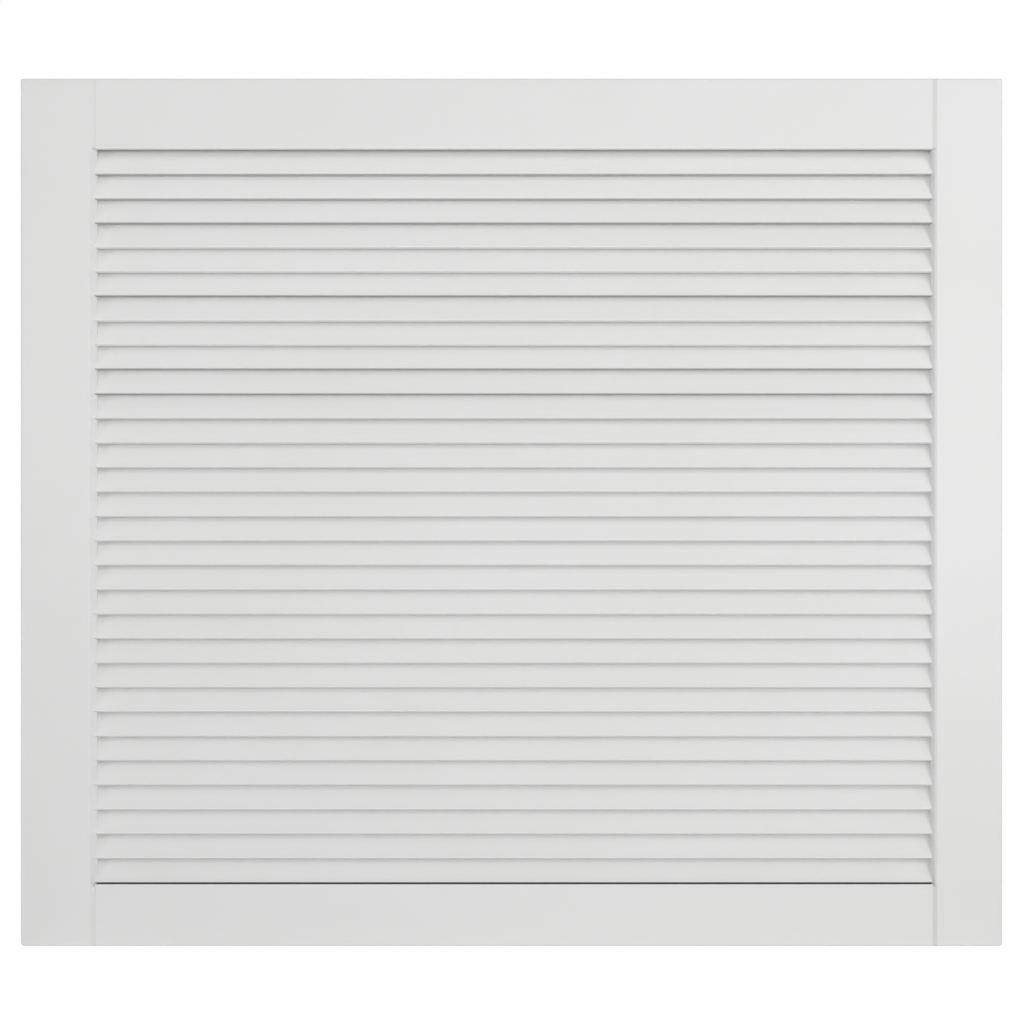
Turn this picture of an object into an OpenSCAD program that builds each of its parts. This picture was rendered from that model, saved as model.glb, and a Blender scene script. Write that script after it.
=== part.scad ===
// Louvred cabinet door: a dowelled frame of two stiles and two rails, with fixed slats
// that lie tilted and lapped in slanted housings in the stiles.
// Millimetres. X runs across the door, Y from the front face to the back, Z up.
// The origin is at the middle of the bottom edge, in the middle of the thickness.

/* [Door leaf] */
// Width of the door
door_w = 594; // [350:1:900]
// Height of the door
door_h = 525; // [470:1:700]
// Thickness of the frame
door_t = 21; // [19:0.5:30]
// Radius on the outer edges of the frame, front and back
edge_r = 1; // [0.5:0.1:2]
// Radius of the door's four corners, seen from the front
corner_r = 2; // [1:0.1:4]

/* [Frame boards] */
// Width of the left stile
left_stile_w = 45; // [30:0.5:90]
// Width of the right stile
right_stile_w = 42; // [30:0.5:90]
// Height of the top rail
top_rail_h = 43; // [38:0.5:90]
// Height of the bottom rail
bottom_rail_h = 37.5; // [30:0.5:90]
// Radius on the stiles' inner front edges, from end to end
stile_arris_r = 2.5; // [0.5:0.1:2.8]
// Radius on the rails' front edges that face the slats
rail_arris_r = 0.6; // [0.3:0.1:1.2]
// Width of the shallow easing on the front of a rail's ends, where it meets the stiles
joint_ease_w = 2; // [1:0.1:4]
// Depth of that easing
joint_ease_d = 0.4; // [0.1:0.05:0.8]

/* [Slats] */
// Number of slats
slat_count = 30; // [20:1:36]
// Width of a slat, from edge to edge
slat_w = 26; // [22:0.5:29]
// Thickness of a slat
slat_t = 2.5; // [2:0.1:4]
// Radius on a slat's four long edges
slat_edge_r = 0.35; // [0.2:0.05:1]
// Tilt of a slat from upright, with its lower edge to the front
slat_tilt = 28; // [25:1:31]
// How far the slats' lower front edges lie behind the front face
nose_setback = 3; // [2.5:0.1:4]
// How much of the first slat shows below the top rail, measured upright
first_show = 13.7; // [12:0.1:15]
// Height of the lowest slat's front edge above the bottom rail's edge
nose_rise = 0.6; // [0.4:0.1:1.5]
// Gap between the first slat's face and the top rail, in that rail's rebate
rebate_gap = 0.8; // [0.3:0.1:2]
// Room above the first slat, in the top rail's rebate
rebate_room = 1.5; // [0.5:0.1:4]
// Rise of the top rail's lower edge, from its front to the rebate
rebate_rise = 1.5; // [0.5:0.1:3]
// Depth of the groove in the bottom rail, for the lowest slat
groove_depth = 4; // [2:0.5:5]
// Width of the bottom rail's lip in front of that groove
groove_lip_w = 1; // [0.8:0.1:1.5]
// Gap between the lowest slat's rear face and the groove's wall
groove_gap = 0.3; // [0.2:0.05:0.6]

/* [Housings] */
// Depth of the slats' housings in the stiles
housing_depth = 8; // [5:0.5:12]
// Clearance between a slat and its housing, all round
housing_fit = 0.15; // [0.05:0.01:0.3]
// Gap between a slat's end and the bottom of its housing
housing_end_gap = 0.5; // [0.2:0.1:1.5]

/* [Dowels] */
// Diameter of a dowel
dowel_d = 8; // [6:0.5:10]
// Length of a dowel, half in the rail and half in the stile
dowel_l = 40; // [30:1:48]
// Bevel on a dowel's ends
dowel_bevel = 1; // [0.5:0.1:2]
// Distance from a rail's edge to the nearest dowel's axis
dowel_margin = 9; // [7:0.5:11]
// Radial clearance of a dowel in its hole
dowel_fit = 0.05; // [0.02:0.01:0.2]
// Spare depth of the hole at each end of a dowel
dowel_end_gap = 1; // [0.5:0.1:2]

/* [Hidden] */
// Fineness of round surfaces
$fn = 48;
// How far a cutting shape reaches past the surface that it cuts
cut = 1;

front_y = -door_t / 2;
back_y = door_t / 2;
left_x = -door_w / 2;
right_x = door_w / 2;
left_joint_x = left_x + left_stile_w;
right_joint_x = right_x - right_stile_w;
opening_top = door_h - top_rail_h;

// The slats share out the height between the first and the lowest front edge evenly.
slat_pitch = (opening_top - first_show - bottom_rail_h - nose_rise) / (slat_count - 1);
nose_y = front_y + nose_setback;

function nose_z(i) = bottom_rail_h + nose_rise + (slat_count - i) * slat_pitch;

// Where the plane of a slat's front face lies at a height.
function slat_face_y(i, z) = nose_y + (z - nose_z(i)) * tan(slat_tilt);

// The top rail's rebate: its sloping face runs along the first slat's front face.
lip_z = opening_top + rebate_rise;
lip_y = slat_face_y(1, lip_z) - rebate_gap / cos(slat_tilt);
rebate_top = nose_z(1) + slat_w * cos(slat_tilt) + rebate_room;
rebate_y = lip_y + (rebate_top - lip_z) * tan(slat_tilt);

// The bottom rail's groove: its rear wall leans as the slats do, and the lip in front thickens downwards.
groove_z = bottom_rail_h - groove_depth;
groove_lip_y = front_y + groove_lip_w;
groove_back_y = slat_face_y(slat_count, bottom_rail_h) + (slat_t + groove_gap) / cos(slat_tilt);
groove_lean = groove_depth * tan(slat_tilt);
lip_lean = groove_depth / 6;

RAILS = ["top", "bottom"];
SIDES = ["left", "right"];
ROWS = ["upper", "lower"];

function slat_name(i) = str("slat_", i < 10 ? "0" : "", i);
function dowel_name(rail, side, row) = str("dowel_", rail, "_", side, "_", row);

// Which way each side's stile lies: its outer face, its face to the rails, and the way inward.
function outer_x(side) = side == "left" ? left_x : right_x;
function joint_x(side) = side == "left" ? left_joint_x : right_joint_x;
function inward(side) = side == "left" ? 1 : -1;

// The two heights between which a rail has its full thickness, and so room for dowels.
function rail_low(rail) = rail == "top" ? rebate_top : 0;
function rail_high(rail) = rail == "top" ? door_h : groove_z;
function dowel_z(rail, row) = row == "upper" ? rail_high(rail) - dowel_margin : rail_low(rail) + dowel_margin;

// Carries an outline drawn in Y and Z along X.
module along_x(from, to) {
    translate([from, 0, 0])
        rotate([90, 0, 90])
            linear_extrude(to - from)
                children();
}

// What a radius takes off the corner at (u, v); su and sv point into the board.
module corner_cut(u, v, su, sv, r) {
    difference() {
        translate([u - (su > 0 ? cut : r), v - (sv > 0 ? cut : r)])
            square(r + cut);
        translate([u + su * r, v + sv * r])
            circle(r);
    }
}

// Outline of a slat across its length, grown all round by a clearance.
module slat_outline(i, grow) {
    u = [-grow, slat_t + grow];
    v = [-grow, slat_w + grow];
    translate([nose_y, nose_z(i)])
        rotate(-slat_tilt)
            difference() {
                translate([u[0], v[0]])
                    square([u[1] - u[0], v[1] - v[0]]);
                for (rear = [0, 1], upper = [0, 1])
                    corner_cut(u[rear], v[upper], 1 - 2 * rear, 1 - 2 * upper, slat_edge_r + grow);
            }
}

// A slat runs into both stiles, just short of the bottoms of its housings.
module slat(i) {
    into_stile = housing_depth - housing_end_gap;
    color("#E4E5E2")
        along_x(left_joint_x - into_stile, right_joint_x + into_stile)
            slat_outline(i, 0);
}

module dowel(rail, side, row) {
    straight = dowel_l - 2 * dowel_bevel;
    end_r = dowel_d / 2 - dowel_bevel;
    color("burlywood")
        translate([joint_x(side), 0, dowel_z(rail, row)])
            rotate([0, 90, 0]) {
                cylinder(h = straight, d = dowel_d, center = true);
                for (flip = [0, 1])
                    mirror([0, 0, flip])
                        translate([0, 0, straight / 2])
                            cylinder(h = dowel_bevel, r1 = dowel_d / 2, r2 = end_r);
            }
}

// The two dowel holes of one corner joint, through both boards.
module dowel_holes(rail, side) {
    for (row = ROWS)
        translate([joint_x(side), 0, dowel_z(rail, row)])
            rotate([0, 90, 0])
                cylinder(h = dowel_l + 2 * dowel_end_gap, r = dowel_d / 2 + dowel_fit, center = true);
}

// A stile seen from above, with its outer edges and its inner front edge rounded.
module stile_outline(side) {
    difference() {
        translate([min(outer_x(side), joint_x(side)), front_y])
            square([abs(outer_x(side) - joint_x(side)), door_t]);
        corner_cut(outer_x(side), front_y, inward(side), 1, edge_r);
        corner_cut(outer_x(side), back_y, inward(side), -1, edge_r);
        corner_cut(joint_x(side), front_y, -inward(side), 1, stile_arris_r);
    }
}

// The whole leaf seen from its edge, with its top and bottom edges rounded.
module edge_outline() {
    difference() {
        translate([front_y, 0])
            square([door_t, door_h]);
        for (low = [true, false]) {
            corner_cut(front_y, low ? 0 : door_h, 1, low ? 1 : -1, edge_r);
            corner_cut(back_y, low ? 0 : door_h, -1, low ? 1 : -1, edge_r);
        }
    }
}

module stile(side) {
    difference() {
        intersection() {
            linear_extrude(door_h)
                stile_outline(side);
            along_x(left_x, right_x)
                edge_outline();
        }
        translate([0, back_y + cut, 0])
            rotate([90, 0, 0])
                linear_extrude(door_t + 2 * cut) {
                    corner_cut(outer_x(side), 0, inward(side), 1, corner_r);
                    corner_cut(outer_x(side), door_h, inward(side), -1, corner_r);
                }
        along_x(joint_x(side) - housing_depth, joint_x(side) + housing_depth)
            for (i = [1:slat_count])
                slat_outline(i, housing_fit);
        for (rail = RAILS)
            dowel_holes(rail, side);
    }
}

module left_stile() {
    color("#DCDDDA") stile("left");
}

module right_stile() {
    color("#E2E3E0") stile("right");
}

// A rail whose outline across its length is given, with its front eased at both joint lines.
module rail(name) {
    difference() {
        along_x(left_joint_x, right_joint_x)
            intersection() {
                edge_outline();
                children();
            }
        for (side = SIDES) {
            translate([joint_x(side), front_y, -cut])
                linear_extrude(door_h + 2 * cut)
                    polygon([[-joint_ease_w, 0], [0, -cut], [joint_ease_w, 0], [0, joint_ease_d]]);
            dowel_holes(name, side);
        }
    }
}

// The top rail is rebated behind its lower edge, on the slats' slope, for the first slat.
module top_rail() {
    color("#E1E2DF")
        rail("top")
            difference() {
                polygon([
                    [front_y, opening_top],
                    [lip_y, lip_z],
                    [rebate_y, rebate_top],
                    [back_y, rebate_top],
                    [back_y, door_h],
                    [front_y, door_h]
                ]);
                corner_cut(front_y, opening_top, 1, 1, rail_arris_r);
            }
}

// The bottom rail has a groove behind its upper edge, and the lowest slat's lower edge hangs over it.
module bottom_rail() {
    color("#DEDFDC")
        rail("bottom")
            difference() {
                polygon([
                    [front_y, 0],
                    [back_y, 0],
                    [back_y, bottom_rail_h],
                    [groove_back_y, bottom_rail_h],
                    [groove_back_y - groove_lean, groove_z],
                    [groove_lip_y + lip_lean, groove_z],
                    [groove_lip_y, bottom_rail_h],
                    [front_y, bottom_rail_h]
                ]);
                corner_cut(front_y, bottom_rail_h, 1, -1, rail_arris_r);
            }
}

left_stile();
right_stile();
top_rail();
bottom_rail();
for (i = [1:slat_count])
    slat(i);
for (rail = RAILS, side = SIDES, row = ROWS)
    dowel(rail, side, row);
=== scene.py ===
import bpy
import numpy as np
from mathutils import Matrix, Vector


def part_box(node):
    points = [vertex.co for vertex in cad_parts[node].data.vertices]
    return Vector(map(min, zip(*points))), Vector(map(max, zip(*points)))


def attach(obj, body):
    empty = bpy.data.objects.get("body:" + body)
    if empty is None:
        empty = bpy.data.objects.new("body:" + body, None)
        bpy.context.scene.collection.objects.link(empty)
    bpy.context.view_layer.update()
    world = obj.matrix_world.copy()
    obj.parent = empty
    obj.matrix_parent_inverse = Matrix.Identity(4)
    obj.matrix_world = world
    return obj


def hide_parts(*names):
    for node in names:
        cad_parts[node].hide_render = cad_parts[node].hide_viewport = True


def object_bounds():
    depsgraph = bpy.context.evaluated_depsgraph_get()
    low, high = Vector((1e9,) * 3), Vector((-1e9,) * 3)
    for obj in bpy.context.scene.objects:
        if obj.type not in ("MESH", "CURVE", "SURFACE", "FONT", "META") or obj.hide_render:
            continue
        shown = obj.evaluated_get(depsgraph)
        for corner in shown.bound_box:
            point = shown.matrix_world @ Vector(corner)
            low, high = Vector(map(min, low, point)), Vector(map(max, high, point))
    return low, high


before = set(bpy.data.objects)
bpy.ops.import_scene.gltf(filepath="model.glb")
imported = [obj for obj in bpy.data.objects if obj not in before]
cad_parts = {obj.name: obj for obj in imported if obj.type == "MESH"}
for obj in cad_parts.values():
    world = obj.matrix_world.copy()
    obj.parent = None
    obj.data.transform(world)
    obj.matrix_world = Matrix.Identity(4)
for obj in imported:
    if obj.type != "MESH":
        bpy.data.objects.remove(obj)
cadBox = [list(corner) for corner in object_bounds()]
scene = bpy.context.scene
print("frame loaded:", len(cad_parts), "nodes")

mm = 0.001
chance = np.random.default_rng(11)   # seeded, so that each run gives the same door


# Lowest and highest corner of a CAD node.
def spanOf(node):
    low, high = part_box(node)
    return np.array(low), np.array(high)


leafLow, leafHigh = np.array(cadBox)
frontY, backY = leafLow[1], leafHigh[1]
openingTop = spanOf("top_rail")[0][2]
openingBottom = spanOf("bottom_rail")[1][2]
jointX = {"left": spanOf("left_stile")[1][0], "right": spanOf("right_stile")[0][0]}
inward = {"left": 1, "right": -1}
slatNames = sorted(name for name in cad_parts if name.startswith("slat_"))
dowelNames = sorted(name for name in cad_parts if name.startswith("dowel_"))


# Rounds the corners of closed outlines. Each corner becomes an arc that touches both of its sides:
# its centre lies on the corner's bisector, radius / sin(half angle) away, and its points turn evenly
# from one side's normal to the other's. A holding point just past each end of an arc keeps the flats
# flat.
def roundedOutline(corners, radii, steps=8, hold=0.3 * mm):
    corners = np.asarray(corners, float)
    radii = np.asarray(radii, float)[..., None]
    toLast = np.roll(corners, 1, -2) - corners
    toNext = np.roll(corners, -1, -2) - corners
    lastLength = np.linalg.norm(toLast, axis=-1, keepdims=True)
    nextLength = np.linalg.norm(toNext, axis=-1, keepdims=True)
    toLast, toNext = toLast / lastLength, toNext / nextLength
    halfAngle = np.arccos(np.clip((toLast * toNext).sum(-1, keepdims=True), -1, 1)) / 2
    touch = radii / np.tan(halfAngle)
    bisector = toLast + toNext
    bisector /= np.linalg.norm(bisector, axis=-1, keepdims=True)
    centre = corners + bisector * radii / np.sin(halfAngle)
    startNormal = (corners + toLast * touch - centre) / radii
    endNormal = (corners + toNext * touch - centre) / radii
    turn = (np.pi - 2 * halfAngle)[..., None]
    t = np.linspace(0, 1, steps + 1)[:, None]
    ofStart, ofEnd = np.sin((1 - t) * turn), np.sin(t * turn)
    normal = ofStart * startNormal[..., None, :] + ofEnd * endNormal[..., None, :]
    arc = centre[..., None, :] + radii[..., None] * normal / np.sin(turn)
    lastRoom = lastLength - touch - np.roll(touch, 1, -2)
    nextRoom = nextLength - touch - np.roll(touch, -1, -2)
    before = corners + toLast * (touch + np.minimum(hold, lastRoom / 3))
    after = corners + toNext * (touch + np.minimum(hold, nextRoom / 3))
    points = np.concatenate((before[..., None, :], arc, after[..., None, :]), -2)
    return points.reshape(points.shape[:-3] + (-1, 2))


# Stations along a board: wide, even steps from end to end, and close ones over each busy stretch.
def stationsAlong(low, high, spacing, busyStretches=()):
    stations = np.linspace(low, high, int((high - low) / spacing) + 1)
    clear = spacing / 4
    for busy in busyStretches:
        outside = (stations < busy.min() - clear) | (stations > busy.max() + clear)
        stations = np.concatenate((stations[outside], busy))
    return np.sort(stations)


# Stations over a rounded end: their distances from the end are radius * (1 - cos(angle)).
def roundEnd(end, radius, way, steps=12):
    return end + way * radius * (1 - np.cos(np.linspace(0, np.pi / 2, steps + 1)))


# How far a quarter round has drawn the surface in, at a distance from the end that it rounds.
def roundInset(distance, radius):
    return radius - np.sqrt(np.maximum(radius ** 2 - np.maximum(radius - distance, 0) ** 2, 0))


# A rise from 0 to 1 with level ends: 3t squared less 2t cubed.
def easeBetween(value, start, end):
    t = np.clip((value - start) / (end - start), 0, 1)
    return t * t * (3 - 2 * t)


# Outlines in Y and Z carried along X, as one ring of points for each station.
def carryAlongX(outlines, x):
    outlines = np.broadcast_to(outlines, (len(x),) + outlines.shape[-2:])
    across = np.broadcast_to(x[:, None, None], outlines.shape[:2] + (1,))
    return np.concatenate((across, outlines), -1)


# Quads between neighbouring rings and neighbouring points, and one face over each end. Rings run
# anticlockwise as seen from where the path goes to, so the faces point outwards.
def ringFaces(ringCount, pointCount, first=0):
    index = first + np.arange(ringCount * pointCount).reshape(ringCount, pointCount)
    nextIndex = np.roll(index, -1, 1)
    quads = np.stack((index[:-1], nextIndex[:-1], nextIndex[1:], index[1:]), -1).reshape(-1, 4)
    return quads.tolist() + [index[0, ::-1].tolist(), index[-1].tolist()]


# One mesh of one or more closed bodies, each given as its rings, with its points' shares of painted
# shade (above 0) and painted light (below 0).
def meshFromRings(name, *bodies, hollow=0.0):
    points, faces = [], []
    for rings in bodies:
        faces += ringFaces(rings.shape[0], rings.shape[1], sum(len(part) for part in points))
        points.append(rings.reshape(-1, 3))
    mesh = bpy.data.meshes.new(name)
    mesh.from_pydata(np.concatenate(points), [], faces)
    shares = np.broadcast_to(np.float32(hollow), len(mesh.vertices)).astype(np.float32)
    mesh.attributes.new("hollow", "FLOAT", "POINT").data.foreach_set("value", shares)
    mesh.validate()
    piece = bpy.data.objects.new(name, mesh)
    scene.collection.objects.link(piece)
    return piece


# Cuts a cutter's bodies out of a piece, and keeps the result as the piece's own mesh.
def carve(piece, cutter):
    cut = piece.modifiers.new("carve", "BOOLEAN")
    cut.operation = "DIFFERENCE"
    cut.solver = "EXACT"
    cut.object = cutter
    graph = bpy.context.evaluated_depsgraph_get()
    carved = bpy.data.meshes.new_from_object(piece.evaluated_get(graph))
    piece.modifiers.clear()
    plain, cutterMesh = piece.data, cutter.data
    piece.data = carved
    bpy.data.objects.remove(cutter)
    bpy.data.meshes.remove(plain)
    bpy.data.meshes.remove(cutterMesh)
    carved.name = piece.name


# Smooth shading with crisp edges, a material, and the piece's place in the frame.
def dress(piece, node, material, sharpAbove=35):
    piece.data.materials.clear()
    piece.data.materials.append(material)
    piece.data.shade_smooth()
    piece.data.set_sharp_from_angle(angle=np.radians(sharpAbove))
    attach(piece, "root")
    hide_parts(node)


# A material or world tree, and a helper that adds a node to it. The node's inputs are set or linked
# by their order or by their names.
def emptyTree(owner):
    owner.use_nodes = True
    tree = owner.node_tree
    tree.nodes.clear()

    def add(kind, *sources, **inputs):
        made = tree.nodes.new("ShaderNode" + kind)
        named = [(made.inputs[label.replace("_", " ")], value) for label, value in inputs.items()]
        for socket, value in list(zip(made.inputs, sources)) + named:
            if isinstance(value, bpy.types.NodeSocket):
                tree.links.new(value, socket)
            else:
                socket.default_value = value
        return made

    return add


# A ramp from one colour to another over a stretch of a noise.
def rampBetween(add, noise, stretch, startColour, endColour):
    ramp = add("ValToRGB", Fac=noise)
    low, high = ramp.color_ramp.elements
    low.position, high.position = stretch
    low.color, high.color = (*startColour, 1), (*endColour, 1)
    return ramp.outputs["Color"]


# Opaque satin lacquer on softwood. Three noises raise its skin one above the other: a slow swell,
# the board's grain, drawn out along the board, and the spray's fine ripple. A slow noise drifts tone
# and gloss. The tone may also fade downwards as painted light, from brighter by a share at the door's
# top to darker at its bottom. A per-point attribute of the pieces paints shade: above 0 it says how
# much of a dark shade tone is mixed in, in recesses, joints and under edges. Below 0 it paints light:
# it says how much whiter the tone is made, as on the walls beside the slats.
lacquerLook = {
    "tone": (0.81, 0.81, 0.807),
    "toneInDrift": (0.795, 0.794, 0.789),
    # painted shade: the dark tone mixed in by the attribute's share
    "bareTone": (0.070, 0.064, 0.055),
    "roughness": (0.40, 0.47),
    "builtUp": 1.14,                         # painted light: how much whiter the tone is made at most
    "drift": (160 * mm, 2.0),                # size and detail
    "driftStretch": (0.35, 0.65),            # where tone and gloss change in its noise
    "swell": (35 * mm, 1.0, 0.03 * mm),      # size, detail and relief
    "grain": (1.6 * mm, 4.0, 0.004 * mm),    # width, detail and relief
    "grainLength": 90 * mm,
    "ripple": (1.3 * mm, 1.0, 0.0016 * mm),  # size, detail and relief
}


def satinLacquer(name, alongBoard, brightness, paintedFade=0.0):
    look = lacquerLook
    driftSize, driftDetail = look["drift"]
    driftStart, driftEnd = look["driftStretch"]
    swellSize, swellDetail, swellRelief = look["swell"]
    grainWidth, grainDetail, grainRelief = look["grain"]
    rippleSize, rippleDetail, rippleRelief = look["ripple"]
    material = bpy.data.materials.new(name)
    add = emptyTree(material)
    place = add("TexCoord").outputs["Object"]
    alongGrain = [1 / grainWidth] * 3
    alongGrain["XYZ".index(alongBoard)] = 1 / look["grainLength"]
    grainPlace = add("Mapping", Vector=place, Scale=alongGrain).outputs["Vector"]
    swell = add("TexNoise", Vector=place, Scale=1 / swellSize, Detail=swellDetail).outputs["Fac"]
    grain = add("TexNoise", Vector=grainPlace, Scale=1.0, Detail=grainDetail).outputs["Fac"]
    ripple = add("TexNoise", Vector=place, Scale=1 / rippleSize, Detail=rippleDetail).outputs["Fac"]
    drift = add("TexNoise", Vector=place, Scale=1 / driftSize, Detail=driftDetail).outputs["Fac"]
    raised = add("Bump", Height=swell, Distance=swellRelief).outputs[0]
    raised = add("Bump", Height=grain, Distance=grainRelief, Normal=raised).outputs[0]
    raised = add("Bump", Height=ripple, Distance=rippleRelief, Normal=raised).outputs[0]
    tones = np.array((look["tone"], look["toneInDrift"])) * brightness
    tone = rampBetween(add, drift, look["driftStretch"], *tones.tolist())
    hollow = add("Attribute")
    hollow.attribute_name = "hollow"
    # Painted light: the tone fades from brighter at the door's top to darker at its bottom.
    height = add("SeparateXYZ", place).outputs["Z"]
    paintedFadeFactor = add("MapRange", Value=height, From_Min=leafLow[2], From_Max=leafHigh[2],
                To_Min=1 - paintedFade, To_Max=1 + paintedFade)
    # Painted light: below 0 the attribute makes the tone whiter.
    builtUp = add("MapRange", Value=hollow.outputs["Fac"], From_Min=-1.0, From_Max=0.0,
                  To_Min=look["builtUp"], To_Max=1.0)
    for change in (paintedFadeFactor, builtUp):
        changed = add("VectorMath", tone, change.outputs["Result"])
        changed.operation = "MULTIPLY"
        tone = changed.outputs["Vector"]
    glossy, dull = look["roughness"]
    roughness = add("MapRange", Value=drift, From_Min=driftStart, From_Max=driftEnd,
                    To_Min=glossy, To_Max=dull).outputs["Result"]
    lacquer = add("BsdfPrincipled", Base_Color=tone, Roughness=roughness, Normal=raised)
    # Painted shade: a dark diffuse, mixed in by the attribute's share.
    paintedShade = add("BsdfDiffuse", Color=(*look["bareTone"], 1))
    shader = add("MixShader", hollow.outputs["Fac"], lacquer.outputs[0], paintedShade.outputs[0])
    add("OutputMaterial", Surface=shader.outputs[0])
    return material


# Bare beech. Its colour streaks along the dowel, with short dark flecks, and the streaks raise it a
# little.
beechLook = {
    "pale": (0.60, 0.41, 0.24),
    "deep": (0.47, 0.29, 0.15),
    "roughness": 0.62,
    "streak": (14 * mm, 0.9 * mm, 5.0),      # length, width and detail
    "streakStretch": (0.35, 0.7),            # where pale turns to deep in its noise
    "streakRelief": 0.02 * mm,
    "fleck": (2.2 * mm, 0.45 * mm, 1.0),     # length, width and detail
    "fleckStretch": (0.62, 0.72),            # where flecks come in in its noise
    "fleckShare": 0.6,
    "fleckTone": (0.36, 0.21, 0.11),
}


def bareBeech(name):
    look = beechLook
    streakLength, streakWidth, streakDetail = look["streak"]
    fleckLength, fleckWidth, fleckDetail = look["fleck"]
    material = bpy.data.materials.new(name)
    add = emptyTree(material)
    place = add("TexCoord").outputs["Object"]
    alongStreak = (1 / streakLength, 1 / streakWidth, 1 / streakWidth)
    alongFleck = (1 / fleckLength, 1 / fleckWidth, 1 / fleckWidth)
    streakPlace = add("Mapping", Vector=place, Scale=alongStreak).outputs["Vector"]
    fleckPlace = add("Mapping", Vector=place, Scale=alongFleck).outputs["Vector"]
    streak = add("TexNoise", Vector=streakPlace, Scale=1.0, Detail=streakDetail).outputs["Fac"]
    fleck = add("TexNoise", Vector=fleckPlace, Scale=1.0, Detail=fleckDetail).outputs["Fac"]
    wood = rampBetween(add, streak, look["streakStretch"], look["pale"], look["deep"])
    flecked = rampBetween(add, fleck, look["fleckStretch"], (0,) * 3, (look["fleckShare"],) * 3)
    bump = add("Bump", Height=streak, Distance=look["streakRelief"]).outputs[0]
    body = add("BsdfPrincipled", Base_Color=wood, Roughness=look["roughness"], Normal=bump)
    mark = add("BsdfPrincipled", Base_Color=(*look["fleckTone"], 1), Roughness=look["roughness"],
               Normal=bump)
    shader = add("MixShader", flecked, body.outputs[0], mark.outputs[0])
    add("OutputMaterial", Surface=shader.outputs[0])
    return material


uprightLacquer = satinLacquer("satinLacquerUpright", "Z", 0.90)
levelLacquer = satinLacquer("satinLacquerLevel", "X", 0.90)
# The slats' tone fades downwards as painted light.
slatLacquer = satinLacquer("satinLacquerSlat", "X", 0.985, paintedFade=0.055)
beech = bareBeech("bareBeech")
print("materials made")

# Slats are flat, with small rounds on their long edges. Each is fixed a little off its even place,
# and a few stand out by set amounts. Painted shade darkens their lower edges, most of all on some,
# and painted light whitens the fronts of the top two.
slatLook = {
    "thickness": 2.5 * mm,
    "width": 26.0 * mm,
    "edgeRadius": 0.35 * mm,
    "roundSteps": 6,
    "tilt": np.radians(28),                  # from upright, with the lower edge to the front
    "spacing": 24 * mm,
    "looseness": 0.12 * mm,
    # How far forward and how far up the ones that stand out sit, in millimetres, by their number.
    "settled": {3: (0.1, 0.1), 6: (0.2, 0.4), 9: (0.2, 0.5), 10: (0.2, 0.2), 30: (0.0, 0.0)},
    # The painted shade on the lower edge, by number. The other edges' share falls from the top one's to
    # 0.
    "bareEdges": {1: 0.65, 2: 0.6, 3: 0.72, 6: 0.75, 9: 0.7, 10: 0.7, 11: 0.3, 30: 0.9},
    "bareEdgeAtTop": 0.2,
    "bareAtFront": 0.35,                     # how much of the share is left at the front corner
    # How much painted light whitens a slat's front, at its lower and upper edge, by number.
    "builtUp": {1: (0.1, 0.9), 2: (0.15, 0.15)},
}


# A slat's number, counted from the top.
def numberOf(node):
    return int(node[-2:])


# Where the middle of a slat is in Y and Z: its even place, moved by a set amount or else by chance.
def slatMiddle(node):
    low, high = spanOf(node)
    byChance = chance.uniform(-1, 1, 2) * slatLook["looseness"]
    settled = slatLook["settled"].get(numberOf(node))
    forward, up = byChance if settled is None else np.array(settled) * mm
    return (low[1:] + high[1:]) / 2 + (-forward, up)


# The outline across a slat, grown all round: a rounded rectangle, turned by the tilt about its middle.
def slatOutline(middle, grow=0):
    look = slatLook
    halfThick, halfWide = look["thickness"] / 2 + grow, look["width"] / 2 + grow
    corners = np.array(((1, -1), (1, 1), (-1, 1), (-1, -1))) * (halfThick, halfWide)
    flat = roundedOutline(corners, np.full(4, look["edgeRadius"] + grow), steps=look["roundSteps"])
    cos, sin = np.cos(look["tilt"]), np.sin(look["tilt"])
    return flat @ np.array(((cos, -sin), (sin, cos))) + middle


# A slat's painted shading around its outline: painted shade, full at the back of its lower edge and
# weaker at the front, fading over the rounds at both sides of it, less the painted light on its
# front. Each corner has a share for each point of its arc and for its two holding points.
def paintedShadeOnSlatEdge(node):
    look = slatLook
    number = numberOf(node)
    usual = look["bareEdgeAtTop"] * (1 - number / len(slatNames))
    fade = np.linspace(0, 1, look["roundSteps"] + 3)
    around = np.concatenate((fade[::-1], 0 * fade, 0 * fade, look["bareAtFront"] * fade))
    lower, upper = look["builtUp"].get(number, (0, 0))
    front = np.concatenate((0 * fade, 0 * fade, 0 * fade + upper, (1 - fade) * lower))
    return look["bareEdges"].get(number, usual) * around - front


slatMiddles = {node: slatMiddle(node) for node in slatNames}
for node in slatNames:
    low, high = spanOf(node)
    x = stationsAlong(low[0], high[0], slatLook["spacing"])
    rings = carryAlongX(slatOutline(slatMiddles[node]), x)
    shares = np.tile(paintedShadeOnSlatEdge(node), len(x))
    slat = meshFromRings(node.replace("slat_", "slat"), rings, hollow=shares)
    dress(slat, node, slatLacquer)
print("slats made:", len(slatNames))

# Fluted dowels, bevelled at both ends.
dowelLook = {
    "radius": 4.0 * mm,
    "bevel": 1.0 * mm,
    "bevelStations": 4,
    "flutes": 18,
    "fluteDepth": 0.25 * mm,
    "pointsRound": 144,
    "spacing": 8 * mm,
    "holeFit": 0.05 * mm,
    "holeSpare": 1.0 * mm,
    "holePointsRound": 48,
}


# A circle in Y and Z, with a radius for all its points or for each.
def circleRound(middle, radius, angle):
    return middle + radius * np.stack((np.cos(angle), np.sin(angle)), -1)


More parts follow.
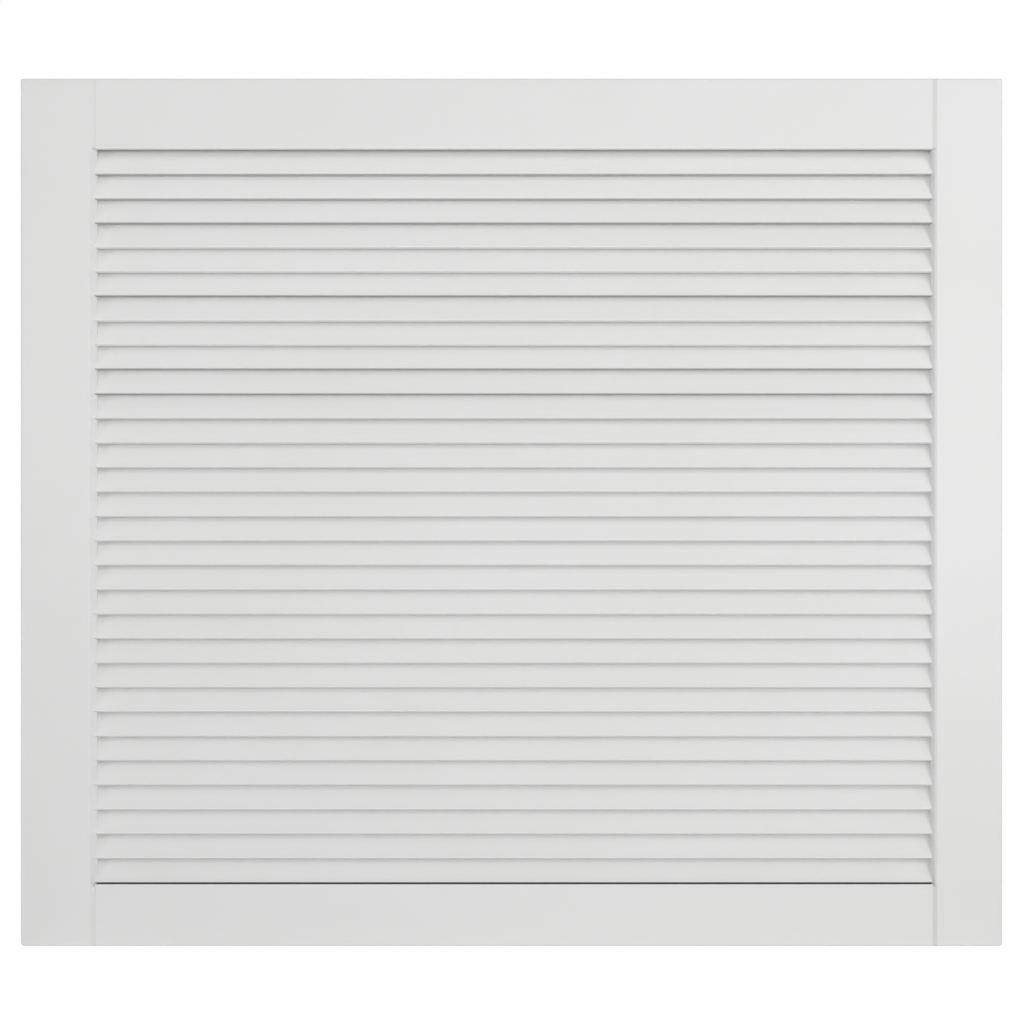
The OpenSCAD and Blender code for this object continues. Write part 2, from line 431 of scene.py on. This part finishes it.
# A dowel's rings: the radius is the body's, less the flutes' depth where (1 + cos(flutes * angle)) / 2
# to the third peaks, and never more than the bevel's, which grows from each end as far as the station
# lies in.
def dowelRings(node):
    look = dowelLook
    low, high = spanOf(node)
    bevel = np.linspace(0, look["bevel"], look["bevelStations"])
    x = stationsAlong(low[0], high[0], look["spacing"], [low[0] + bevel, high[0] - bevel])
    angle = np.linspace(0, 2 * np.pi, look["pointsRound"], endpoint=False)
    fluted = look["radius"] - look["fluteDepth"] * ((1 + np.cos(look["flutes"] * angle)) / 2) ** 3
    bevelled = look["radius"] - look["bevel"] + np.minimum(x - low[0], high[0] - x)
    radius = np.minimum(fluted[None, :], bevelled[:, None])[..., None]
    return carryAlongX(circleRound((low[1:] + high[1:]) / 2, radius, angle), x)


# A dowel's hole, through both boards at a joint.
def dowelHole(node):
    look = dowelLook
    low, high = spanOf(node)
    angle = np.linspace(0, 2 * np.pi, look["holePointsRound"], endpoint=False)
    circle = circleRound((low[1:] + high[1:]) / 2, look["radius"] + look["holeFit"], angle)
    return carryAlongX(circle, np.array((low[0] - look["holeSpare"], high[0] + look["holeSpare"])))


for node in dowelNames:
    where = "".join(word.capitalize() for word in node.split("_")[1:])
    dress(meshFromRings("dowel" + where, dowelRings(node)), node, beech)
print("dowels made:", len(dowelNames))

# Stiles: full-height boards, with rounded outer edges and corners, and an arris beside the slats that
# is bevelled with a round at its front. Where a rail meets a stile, lacquer fills the arris to a wide
# and shallow ease, of its own depth at each joint, and painted shade darkens the ease. Painted light
# whitens the walls beside the slats. Pairs are for the bottom and the top.
stileLook = {
    "edgeRadius": 1.0 * mm,                  # outer edges, front and back
    "cornerRadius": {"left": (2.4 * mm, 0.7 * mm), "right": (1.8 * mm, 1.0 * mm)},
    "backRadius": 0.3 * mm,
    "spacing": 12 * mm,
    "arrisWidth": {"left": 3.0 * mm, "right": 1.5 * mm},
    "arrisDepth": {"left": 5.5 * mm, "right": 5.0 * mm},
    "arrisRadius": {"left": 1.0 * mm, "right": 2.5 * mm},
    "innerRadius": 1.0 * mm,
    "easeWidth": 2.6 * mm,
    "easeDepth": {"left": (0.3 * mm, 0.2 * mm), "right": (0.4 * mm, 0.4 * mm)},
    "easeRadius": 0.3 * mm,
    # painted shade in the ease at each joint, bottom and top
    "easeBare": {"left": (0.06, 0.02), "right": (0.14, 0.10)},
    "easeStart": 1.0 * mm,                   # from a rail's edge, beside the slats
    "easeEnd": 2.0 * mm,                     # from a rail's edge, beside the rail
    "easeStations": 12,
    # painted light: how much whiter the walls beside the slats are made
    "wallBuiltUp": {"left": 0.8, "right": 1.0},
    "wallReach": 3.5 * mm,                   # from the joint, across
    "wallStart": 0.5 * mm,                   # from the front
    "wallEnd": 0.1 * mm,                     # from the back
    "housingDepth": 8.0 * mm,
    "housingFit": 0.04 * mm,                 # lacquer has closed the rest
}


# How a stile's inner front edge runs along its height: how far in and how far back its two corners
# lie, their radii, and the painted shade on it. Each goes from its value beside the slats to its value
# at a joint as the rise between them does.
def innerEdge(side, z):
    look = stileLook
    start, end = look["easeStart"], look["easeEnd"]
    width, depth, radius = (look[part][side] for part in ("arrisWidth", "arrisDepth", "arrisRadius"))
    atBottom = easeBetween(z, openingBottom + start, openingBottom - end)
    atTop = easeBetween(z, openingTop - start, openingTop + end)
    atJoint = atBottom + atTop
    depthLow, depthHigh = look["easeDepth"][side]
    inwards = width + (look["easeWidth"] - width) * atJoint
    backwards = depth + (depthLow - depth) * atBottom + (depthHigh - depth) * atTop
    roundness = radius + (look["easeRadius"] - radius) * atJoint
    sharpness = look["innerRadius"] + (look["easeRadius"] - look["innerRadius"]) * atJoint
    paintedShadeLow, paintedShadeHigh = look["easeBare"][side]
    paintedShade = paintedShadeLow * atBottom + paintedShadeHigh * atTop
    return inwards, backwards, roundness, sharpness, paintedShade


# A stile's rings, and its points' painted shade shares, which fade in over the first corner of the
# inner edge and are full on the second.
def stileRings(side):
    look = stileLook
    low, high = spanOf(side + "_stile")
    cornerLow, cornerHigh = look["cornerRadius"][side]
    edgeRadius, start, end = look["edgeRadius"], look["easeStart"], look["easeEnd"]
    steps = look["easeStations"]
    busy = [np.union1d(roundEnd(low[2], edgeRadius, 1), roundEnd(low[2], cornerLow, 1)),
            np.union1d(roundEnd(high[2], edgeRadius, -1), roundEnd(high[2], cornerHigh, -1)),
            np.linspace(openingBottom - end, openingBottom + start, steps),
            np.linspace(openingTop - start, openingTop + end, steps)]
    z = stationsAlong(low[2], high[2], look["spacing"], busy)
    cornerIn = np.maximum(roundInset(z - low[2], cornerLow), roundInset(high[2] - z, cornerHigh))
    edgeIn = roundInset(np.minimum(z - low[2], high[2] - z), edgeRadius)
    front, back = frontY + edgeIn, backY - edgeIn
    way = inward[side]
    outerX = np.where(way > 0, low[0], high[0]) + way * cornerIn
    innerX = np.full_like(z, jointX[side])
    inwards, backwards, wide, sharp, paintedShade = innerEdge(side, z)
    edge, plain = np.full_like(z, edgeRadius), np.full_like(z, look["backRadius"])
    corners = np.array(((outerX, front), (innerX - way * inwards, front),
                        (innerX, front + backwards), (innerX, back), (outerX, back)))
    radii = np.array((edge, wide, sharp, plain, edge))
    outlines = roundedOutline(np.moveaxis(corners, 2, 0)[:, ::way], radii.T[:, ::way])
    heights = np.broadcast_to(z[:, None, None], outlines.shape[:2] + (1,))
    perCorner = outlines.shape[1] // len(corners)
    around = np.repeat((0.0, 0.0, 1.0, 0.0, 0.0), perCorner)
    around[perCorner:2 * perCorner] = np.linspace(0, 1, perCorner)
    return np.concatenate((outlines, heights), -1), (paintedShade[:, None] * around[::way]).ravel()


# A slanted, stopped housing in a stile, a hair wider than the slat that it holds.
def housing(side, node):
    reach = stileLook["housingDepth"]
    x = jointX[side] + np.array((-reach, reach))
    return carryAlongX(slatOutline(slatMiddles[node], stileLook["housingFit"]), x)


# Paints light on a carved stile's wall: every point between front and back, beside the slats, is made
# whiter.
def paintLightOnWall(mesh, side):
    look = stileLook
    places = np.empty(3 * len(mesh.vertices), np.float32)
    shares = np.empty(len(mesh.vertices), np.float32)
    mesh.vertices.foreach_get("co", places)
    mesh.attributes["hollow"].data.foreach_get("value", shares)
    x, y, z = places.reshape(-1, 3).T
    onWall = np.abs(x - jointX[side]) < look["wallReach"]
    onWall &= (y > frontY + look["wallStart"]) & (y < backY - look["wallEnd"])
    onWall &= (z > openingBottom) & (z < openingTop)
    shares[onWall] = -look["wallBuiltUp"][side]
    mesh.attributes["hollow"].data.foreach_set("value", shares)


for side in ("left", "right"):
    rings, shares = stileRings(side)
    stile = meshFromRings(side + "Stile", rings, hollow=shares)
    holes = [dowelHole(node) for node in dowelNames if side in node]
    carve(stile, meshFromRings("stileCutter", *[housing(side, node) for node in slatNames], *holes))
    paintLightOnWall(stile.data, side)
    dress(stile, side + "_stile", uprightLacquer)
print("stiles made")

# Rails: each has rounded outer edges and a small arris towards the slats. The top one is rebated
# behind its lower edge for the first slat, and the bottom one has a groove that the lowest slat hangs
# over. Their ends are eased a little where they meet the stiles, by a pair for the left and the right.
# Painted shade darkens the eased ends, the top rail's lip underside and the bottom rail's groove.
railLook = {
    "edgeRadius": 1.0 * mm,
    "arrisRadius": (1.2 * mm, 0.6 * mm),     # top rail, bottom rail
    "backRadius": 0.3 * mm,
    "spacing": 24 * mm,
    "easeWidth": 1.0 * mm,
    "easeDepth": {"top_rail": (0.1 * mm, 0.2 * mm), "bottom_rail": (0.15 * mm, 0.15 * mm)},
    "easeStations": 8,
    "easedFront": 0.5 * mm,                  # corners less far back than this are eased
    "bareEnds": {"top_rail": (0.02, 0.10), "bottom_rail": (0.06, 0.06)},
    "rebateGap": 0.8 * mm,
    "rebateRoom": 1.5 * mm,
    "rebateRise": 1.5 * mm,
    "bareLip": 0.9,
    "lipWidth": 1.0 * mm,
    "grooveDepth": 4.0 * mm,
    "grooveGap": 0.3 * mm,
    "grooveSteepness": 6,                    # of its front wall, as depth to width
    "grooveRadius": 0.15 * mm,
}


# A rail's outline carried from joint to joint, and its points' painted shade shares. Near an end at
# distance d, the front falls back by the end's easing times (1 - d / width) squared, and its painted
# shade fades likewise.
def railRings(node, corners, radii, paintedShadeCorners):
    look = railLook
    low, high = spanOf(node)
    width = look["easeWidth"]
    close = np.linspace(0, width, look["easeStations"])
    x = stationsAlong(low[0], high[0], look["spacing"], [low[0] + close, high[0] - close])
    nearLeft = np.clip(1 - (x - low[0]) / width, 0, 1) ** 2
    nearRight = np.clip(1 - (high[0] - x) / width, 0, 1) ** 2
    depthLeft, depthRight = look["easeDepth"][node]
    paintedShadeLeft, paintedShadeRight = look["bareEnds"][node]
    corners = np.repeat(np.array(corners)[None], len(x), 0)
    atFront = corners[0, :, 0] < frontY + look["easedFront"]
    corners[:, atFront, 0] += (depthLeft * nearLeft + depthRight * nearRight)[:, None]
    outlines = roundedOutline(corners, np.repeat(np.array(radii)[None], len(x), 0))
    perCorner = outlines.shape[1] // len(radii)
    around = np.concatenate([np.linspace(start, end, perCorner) for start, end in paintedShadeCorners])
    atEnds = paintedShadeLeft * nearLeft + paintedShadeRight * nearRight
    return carryAlongX(outlines, x), np.maximum(around[None, :], atEnds[:, None]).ravel()


# Where the plane of an evenly fixed slat's front face lies at a height.
def slatFace(node, z):
    low, high = spanOf(node)
    middleY, middleZ = (low[1:] + high[1:]) / 2
    slope, lean = np.tan(slatLook["tilt"]), np.cos(slatLook["tilt"])
    return middleY + (z - middleZ) * slope - slatLook["thickness"] / 2 / lean


# The two rails' outlines: each has its corners in Y and Z, their radii, and their painted shade
# shares where the outline comes to the corner and where it leaves it.
def railShapes():
    look = railLook
    slope, lean = np.tan(slatLook["tilt"]), np.cos(slatLook["tilt"])
    lipZ = openingTop + look["rebateRise"]
    lipY = slatFace(slatNames[0], lipZ) - look["rebateGap"] / lean
    rebateTop = spanOf(slatNames[0])[1][2] + look["rebateRoom"]
    rebateY = lipY + (rebateTop - lipZ) * slope
    grooveZ = openingBottom - look["grooveDepth"]
    grooveFront = frontY + look["lipWidth"]
    slatRoom = (slatLook["thickness"] + look["grooveGap"]) / lean
    grooveBack = slatFace(slatNames[-1], openingBottom) + slatRoom
    topCorners = ((frontY, openingTop), (lipY, lipZ), (rebateY, rebateTop), (backY, rebateTop),
                  (backY, leafHigh[2]), (frontY, leafHigh[2]))
    bottomCorners = ((frontY, leafLow[2]), (backY, leafLow[2]), (backY, openingBottom),
                     (grooveBack, openingBottom),
                     (grooveBack - look["grooveDepth"] * slope, grooveZ),
                     (grooveFront + look["grooveDepth"] / look["grooveSteepness"], grooveZ),
                     (grooveFront, openingBottom), (frontY, openingBottom))
    topArris, bottomArris = look["arrisRadius"]
    edge, plain, inner = look["edgeRadius"], look["backRadius"], look["grooveRadius"]
    topRadii = (topArris, plain, plain, plain, edge, edge)
    bottomRadii = (edge, edge, plain, plain, inner, inner, inner, bottomArris)
    lacquered, paintedShade = (0, 0), (1, 1)
    topPaintedShade = (lacquered, (look["bareLip"], 0)) + (lacquered,) * 4
    bottomPaintedShade = (lacquered, lacquered, lacquered, (0, 1), paintedShade, paintedShade, (1, 0), lacquered)
    return {"top_rail": (topCorners, topRadii, topPaintedShade),
            "bottom_rail": (bottomCorners, bottomRadii, bottomPaintedShade)}


for node, shape in railShapes().items():
    where = node.split("_")[0]
    rings, shares = railRings(node, *shape)
    rail = meshFromRings(where + "Rail", rings, hollow=shares)
    carve(rail, meshFromRings("railCutter", *[dowelHole(name) for name in dowelNames if where in name]))
    dress(rail, node, levelLacquer)
print("rails made")


# White to the camera and to reflections: 1 for those rays and 0 for the rest, which carry the lamps'
# light.
def seenDirectly(add):
    path = add("LightPath")
    seen = path.outputs["Is Camera Ray"]
    for label in ("Is Glossy Ray", "Is Transmission Ray"):
        either = add("Math", seen, path.outputs[label])
        either.operation = "MAXIMUM"
        seen = either.outputs[0]
    return seen


# A pale floor that looks white, and still takes the door's shadow.
stageLook = {
    "floorReach": 4.0,
    "floorTone": 0.88,
    "shadowShare": 0.35,                     # how much of the floor's look is shaded by the lamps
    "glow": 0.9,
    "fill": 0.322,                           # strength of the soft light from all round
}
white = (1, 1, 1, 1)
reach = stageLook["floorReach"]
floorMesh = bpy.data.meshes.new("floor")
floorMesh.from_pydata([(-reach, -reach, leafLow[2]), (reach, -reach, leafLow[2]),
                       (reach, reach, leafLow[2]), (-reach, reach, leafLow[2])], [], [(0, 1, 2, 3)])
floor = bpy.data.objects.new("floor", floorMesh)
scene.collection.objects.link(floor)
floorMaterial = bpy.data.materials.new("paleFloor")
add = emptyTree(floorMaterial)
lit = add("BsdfDiffuse", Color=(stageLook["floorTone"],) * 3 + (1,))
shaded = add("BsdfDiffuse", Color=(stageLook["shadowShare"],) * 3 + (1,))
glow = add("Emission", Strength=stageLook["glow"])
glowing = add("AddShader", shaded.outputs[0], glow.outputs[0])
choice = add("MixShader", seenDirectly(add), lit.outputs[0], glowing.outputs[0])
add("OutputMaterial", Surface=choice.outputs[0])
floorMesh.materials.append(floorMaterial)

world = bpy.data.worlds.new("studio")
scene.world = world
add = emptyTree(world)
fill = add("Background", Color=white, Strength=stageLook["fill"])
backdrop = add("Background", Color=white, Strength=1.0)
choice = add("MixShader", seenDirectly(add), fill.outputs[0], backdrop.outputs[0])
add("OutputWorld", Surface=choice.outputs[0])

# Soft boxes, all aimed at the door's middle: where each stands, the side of its square, and its power.
lampLook = {
    "softBoxFront": ((0.0, -2.5, 0.35), 0.5, 4.5),
    "softBoxNear": ((0.0, -1.4, 0.3), 0.4, 2.6),
    "softBoxNearRight": ((0.7, -1.3, 0.4), 0.4, 1.7),
    "softBoxNearLeft": ((-0.55, -1.25, 0.6), 0.4, 0.6),
    "softBoxRight": ((1.25, -2.16, 0.35), 0.5, 4.6),
    "softBoxHighRight": ((1.3, -1.86, 1.32), 0.5, 8.0),
    "softBoxSide": ((2.05, -1.43, 0.35), 0.5, 3.4),
    "hardBoxLeft": ((-1.92, -1.61, 0.35), 0.25, 6.8),
}
leafMiddle = (leafLow + leafHigh) / 2
for name, (place, size, power) in lampLook.items():
    lamp = bpy.data.objects.new(name, bpy.data.lights.new(name, "AREA"))
    lamp.data.shape = "SQUARE"
    lamp.data.size = size
    lamp.data.energy = power
    lamp.location = place
    towards = Vector(leafMiddle - np.array(place))
    lamp.rotation_euler = towards.to_track_quat("-Z", "Y").to_euler()
    scene.collection.objects.link(lamp)
print("stage and lamps made")

cameraLook = {
    "distance": 1.05,                        # from the front face
    "pixelsPerMetre": 1653.2,                # at the front face
    "imageSize": 1024,
    "sensor": 36,
    "offset": (0.3 * mm, 0.24 * mm),         # from the door's middle, across and up
}
camera = bpy.data.objects.new("camera", bpy.data.cameras.new("camera"))
scene.collection.objects.link(camera)
camera.location = (leafMiddle[0] + cameraLook["offset"][0], frontY - cameraLook["distance"],
                   leafMiddle[2] + cameraLook["offset"][1])
camera.rotation_euler = (np.pi / 2, 0, 0)
camera.data.sensor_width = cameraLook["sensor"]
viewWidth = cameraLook["imageSize"] / cameraLook["pixelsPerMetre"]
camera.data.lens = cameraLook["sensor"] * cameraLook["distance"] / viewWidth
scene.camera = camera
scene.view_settings.view_transform = "Standard"
